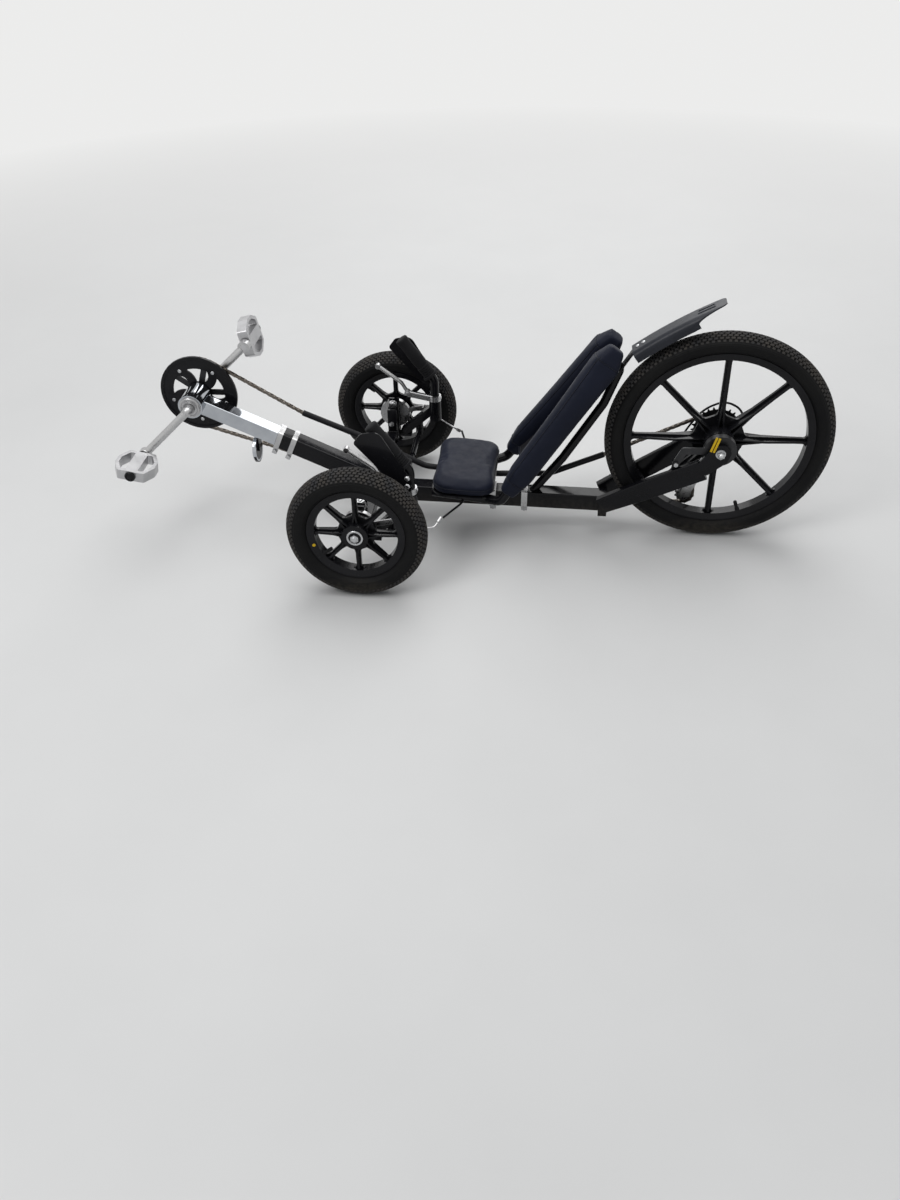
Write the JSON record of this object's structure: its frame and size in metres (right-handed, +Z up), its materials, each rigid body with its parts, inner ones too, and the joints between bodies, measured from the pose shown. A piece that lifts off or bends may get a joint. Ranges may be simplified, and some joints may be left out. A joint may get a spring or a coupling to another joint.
{
  "type": "recumbent pedal trike",
  "caption": "Low recumbent pedal trike with two steered front wheels, a larger chain-driven rear wheel, a padded seat between its handlebars and pedals on a forward boom.",
  "frame": {"origin": "on the ground under the middle of the bounding box", "axes": "+X to the rear wheel, so it faces -X; -Y is its left side; +Z up"},
  "size_m": [1.6184, 0.6526, 0.5729],
  "materials": {
    "black_frame": "gloss black paint",
    "black_plastic": "satin",
    "cable_black": "satin",
    "chain_steel": "oiled",
    "chrome": "polished",
    "dark_steel": "satin black",
    "derailleur_alloy": "satin",
    "grip_rubber": "matt",
    "reflector": "clear moulded",
    "seat_fabric": "matt vinyl",
    "silver_cage": "satin",
    "silver_metal": "satin",
    "sling_fabric": "woven",
    "tube_plastic": "matt",
    "tyre_rubber": "matt",
    "wheel_plastic": "satin moulded",
    "yellow_plastic": "satin",
    "zinc_bolt": "satin zinc"
  },
  "bodies": {
    "frame": {"bearing_cups": "silver_metal", "boom": "chrome", "boom_clamps": "silver_metal", "brake_tag": "yellow_plastic", "cable_brake_left": "cable_black", "cable_brake_right": "cable_black", "cable_gear": "cable_black", "chain": "chain_steel", "chain_tubes": "tube_plastic", "cross_member": "black_frame", "derailleur": "derailleur_alloy", "front_reflector": "reflector", "kingpins": "zinc_bolt", "main_tube": "black_frame", "mudguard": "black_plastic", "mudguard_bracket": "black_frame", "rear_axle": "zinc_bolt", "rear_brake": "dark_steel", "rear_fork": "black_frame", "seat_pad": "seat_fabric", "seat_pan": "black_frame", "seat_rails": "black_frame", "seat_sling": "sling_fabric", "seat_straps": "silver_metal", "seat_wings": "seat_fabric"},
    "rear_wheel": {"rear_rim": "wheel_plastic", "rear_tyre": "tyre_rubber", "freewheel": "dark_steel"},
    "crankset": {"crank": "silver_metal", "chainring": "dark_steel", "guard_disc": "black_plastic"},
    "pedal_left": {"pedal_left": "silver_cage"},
    "pedal_right": {"pedal_right": "silver_cage"},
    "tie_rod": {"tie_rod": "dark_steel"},
    "front_wheel_left": {"front_rim_left": "wheel_plastic", "front_tyre_left": "tyre_rubber"},
    "steering_left": {"bar_left": "black_frame", "brake_lever_left": "silver_metal", "brake_noodle_left": "silver_metal", "front_brake_left": "dark_steel", "grip_left": "grip_rubber", "hand_guard_left": "black_plastic", "knuckle_left": "black_frame", "stub_axle_left": "zinc_bolt"},
    "front_wheel_right": {"front_rim_right": "wheel_plastic", "front_tyre_right": "tyre_rubber"},
    "steering_right": {"bar_right": "black_frame", "brake_lever_right": "silver_metal", "brake_noodle_right": "silver_metal", "front_brake_right": "dark_steel", "grip_right": "grip_rubber", "hand_guard_right": "black_plastic", "knuckle_right": "black_frame", "stub_axle_right": "zinc_bolt"}
  },
  "joints": [
    {"name": "rear_wheel_spin", "type": "hinge", "parent": "frame", "child": "rear_wheel", "pos_m": [0.55548, 0, 0.253], "axis": [0, 1, 0], "continuous": true},
    {"name": "crank_spin", "type": "hinge", "parent": "frame", "child": "crankset", "pos_m": [-0.64952, 0, 0.308], "axis": [0, 1, 0], "continuous": true},
    {"name": "pedal_left_spin", "type": "hinge", "parent": "crankset", "child": "pedal_left", "pos_m": [-0.76248, -0.136, 0.20629], "axis": [0, 1, 0], "continuous": true},
    {"name": "pedal_right_spin", "type": "hinge", "parent": "crankset", "child": "pedal_right", "pos_m": [-0.53656, 0.136, 0.40971], "axis": [0, 1, 0], "continuous": true},
    {"name": "steer_left", "type": "hinge", "parent": "frame", "child": "steering_left", "pos_m": [-0.22352, -0.232, 0.146], "axis": [0, 0, 1], "range_deg": [-26, 26]},
    {"name": "steer_right", "type": "hinge", "parent": "frame", "child": "steering_right", "pos_m": [-0.22352, 0.232, 0.146], "axis": [0, 0, 1], "range_deg": [-26, 26]},
    {"name": "tie_rod_pivot", "type": "hinge", "parent": "steering_left", "child": "tie_rod", "pos_m": [-0.15752, -0.232, 0.124], "axis": [0, 0, 1], "range_deg": [-26, 26]},
    {"name": "front_wheel_left_spin", "type": "hinge", "parent": "steering_left", "child": "front_wheel_left", "pos_m": [-0.22352, -0.291, 0.155], "axis": [0, -0.9994, 0.0349], "continuous": true},
    {"name": "front_wheel_right_spin", "type": "hinge", "parent": "steering_right", "child": "front_wheel_right", "pos_m": [-0.22352, 0.291, 0.155], "axis": [0, 0.9994, 0.0349], "continuous": true}
  ],
  "couplings": [
    {"joint": "steer_right", "follows": "steer_left", "ratio": 1},
    {"joint": "tie_rod_pivot", "follows": "steer_left", "ratio": -1}
  ]
}
